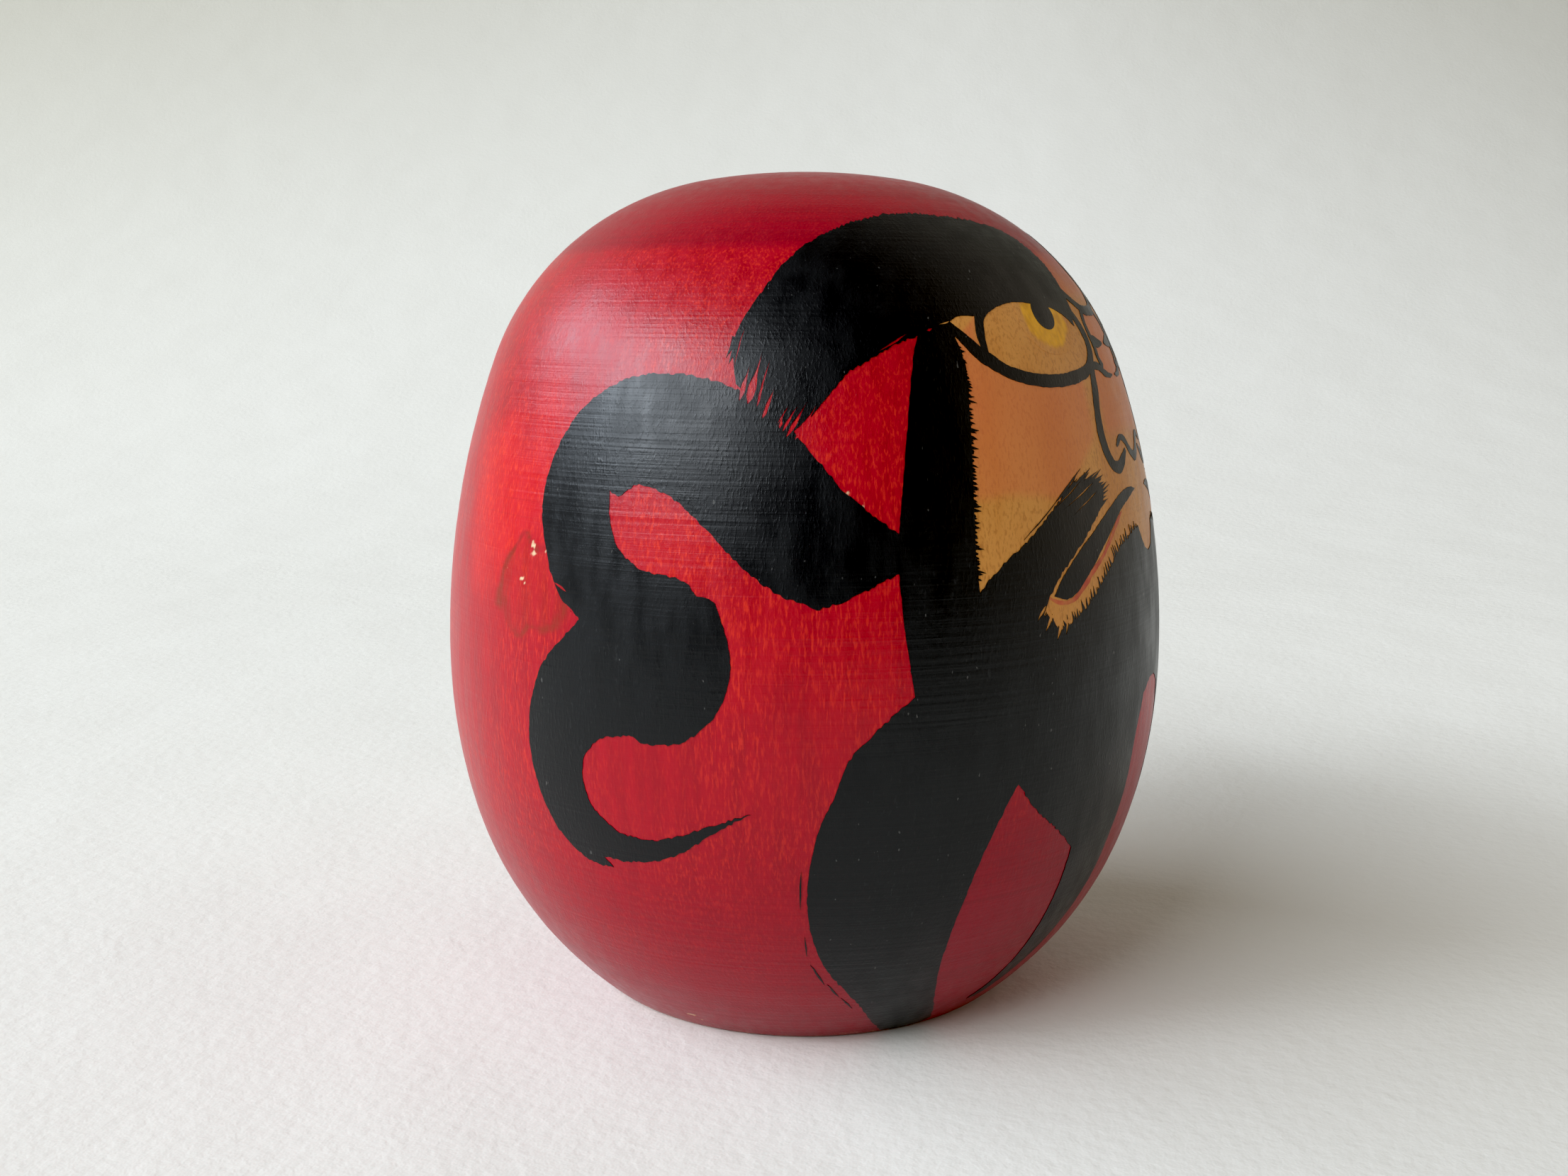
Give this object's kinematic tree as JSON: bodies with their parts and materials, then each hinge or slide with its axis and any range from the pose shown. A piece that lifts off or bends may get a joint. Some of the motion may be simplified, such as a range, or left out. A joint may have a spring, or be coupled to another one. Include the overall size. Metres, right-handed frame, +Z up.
{
  "type": "turned wooden daruma doll",
  "caption": "Egg-shaped turned wooden daruma doll with a flat foot, bored from below and closed by a turned plug.",
  "frame": {"origin": "middle of the flat foot, on the surface that the doll stands on", "axes": "+Z up along the turning axis, -Y towards the middle of the front, +X to the right of a viewer at the front"},
  "size_m": [0.09, 0.09, 0.101],
  "materials": {
    "dyed_wood": "red water dye under a thin rubbed wax, with the bare wood left open at the face",
    "bare_wood": "turned and unfinished",
    "black_ink": "brushed black ink film under wax, satin",
    "eye_paint": "thin brushed paint film, satin"
  },
  "bodies": {
    "root": {"body": "dyed_wood", "base_plug": "bare_wood"}
  },
  "joints": []
}
